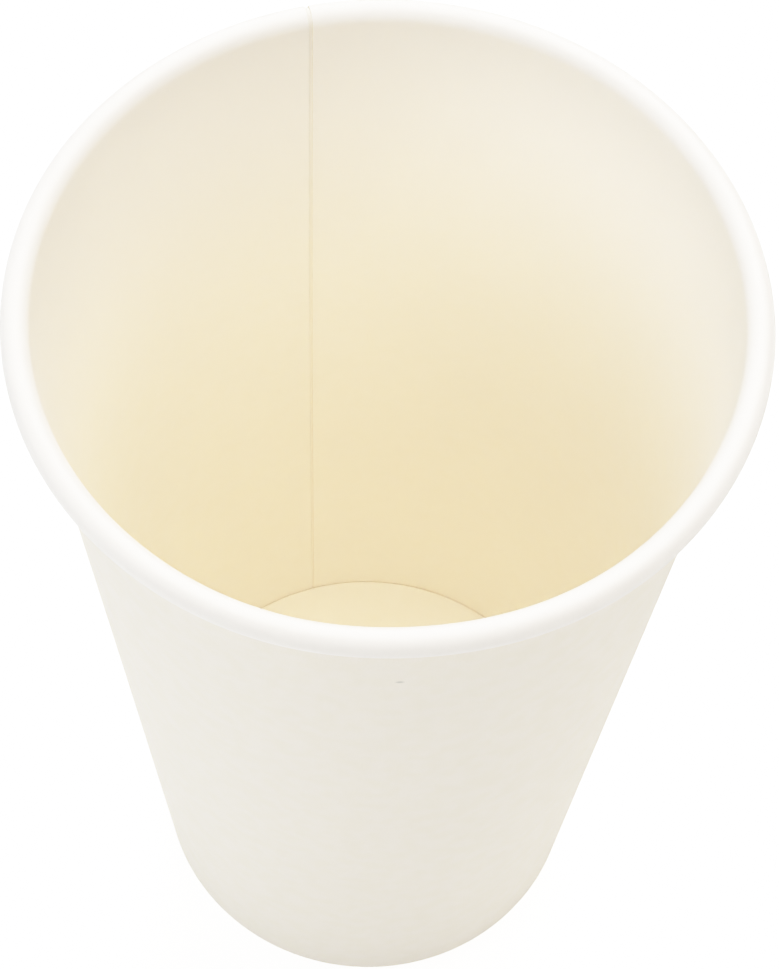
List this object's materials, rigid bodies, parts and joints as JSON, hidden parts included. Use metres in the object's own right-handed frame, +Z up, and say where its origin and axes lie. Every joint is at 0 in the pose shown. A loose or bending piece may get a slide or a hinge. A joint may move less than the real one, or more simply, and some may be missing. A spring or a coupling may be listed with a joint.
{
  "type": "paper coffee cup",
  "caption": "Tapered paper coffee cup with a rolled rim, a lapped side seam and a recessed base held in the folded foot.",
  "frame": {"origin": "middle of the ring that the cup stands on, at the level of the surface under it", "axes": "+Z up along the cup's axis to the rim, -Y towards the near side, with the side seam at the back, 106.4 degrees from +X"},
  "size_m": [0.09, 0.09, 0.135],
  "materials": {
    "wall_board": "white coated paperboard, matte outside and satin inside",
    "base_board": "white coated paperboard, satin on top"
  },
  "bodies": {
    "root": {"side_wall": "wall_board", "base_disc": "base_board"}
  },
  "joints": []
}
